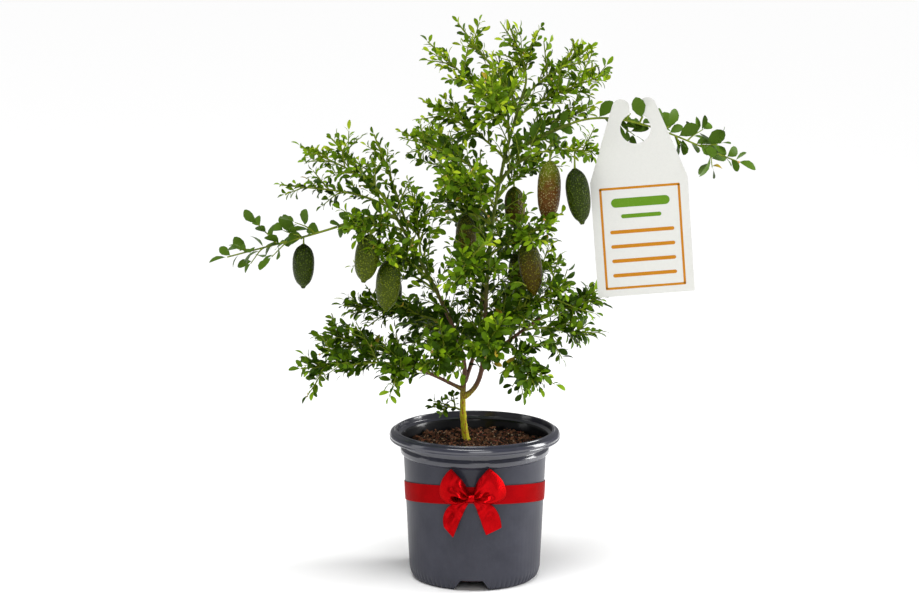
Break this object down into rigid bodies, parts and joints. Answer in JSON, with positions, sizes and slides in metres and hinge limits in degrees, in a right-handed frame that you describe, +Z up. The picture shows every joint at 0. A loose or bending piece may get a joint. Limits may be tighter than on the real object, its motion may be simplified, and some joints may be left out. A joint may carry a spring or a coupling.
{
  "type": "potted finger lime tree",
  "caption": "Young finger lime tree in a round nursery pot: slender leaders, airy masses of small leaves, hanging finger-shaped fruit, a ribbon with a bow, and a hanging tag.",
  "frame": {"origin": "centre of the pot's flat underside, on the floor", "axes": "+Z up along the trunk, +X to the right of the front view, -Y towards the viewer of the bow"},
  "size_m": [0.5638, 0.269, 0.6298],
  "materials": {
    "pot": "satin moulded polypropylene",
    "soil": "coarse dark bark potting mix",
    "ribbon": "satin weave",
    "tag": "matt coated card",
    "bark": "young bark",
    "foliage": "waxy leaves"
  },
  "bodies": {
    "root": {"pot": "pot", "soil": "soil", "ribbon_band": "ribbon", "bow": "ribbon", "tag": "tag", "trunk": "bark", "right_leader": "bark", "left_leader": "bark", "rear_leader": "bark", "low_left_bough": "bark", "low_right_bough": "bark", "left_arm": "bark", "right_arm": "bark", "fruit_arm": "bark", "low_left_tip": "foliage", "low_left_rear": "foliage", "low_left_front": "foliage", "low_left_upper": "foliage", "basal_sprout": "foliage", "low_right_tip": "foliage", "low_right_rear": "foliage", "low_right_front": "foliage", "low_right_high_rear": "foliage", "low_right_high_front": "foliage", "front_low_left": "foliage", "front_low_right": "foliage", "rear_low_left": "foliage", "rear_low_right": "foliage", "left_mid_rear": "foliage", "left_mid_front": "foliage", "left_fruit_spray": "foliage", "front_mid": "foliage", "centre_left": "foliage", "right_fruit_spray": "foliage", "centre_fruit_spray": "foliage", "rear_mid_right": "foliage", "rear_mid": "foliage", "rear_high_left": "foliage", "right_rear_spray": "foliage", "left_arm_spray": "foliage", "left_high_outer": "foliage", "left_high_front": "foliage", "left_high_rear": "foliage", "left_high_inner": "foliage", "centre_high_left": "foliage", "centre_high_rear": "foliage", "front_high_left": "foliage", "top_left": "foliage", "top_centre": "foliage", "top_right": "foliage", "top_far_right": "foliage", "top_rear": "foliage", "top_front": "foliage", "right_high": "foliage", "right_high_low": "foliage", "right_arm_spray": "foliage", "fruit_arm_spray": "foliage"}
  },
  "joints": []
}
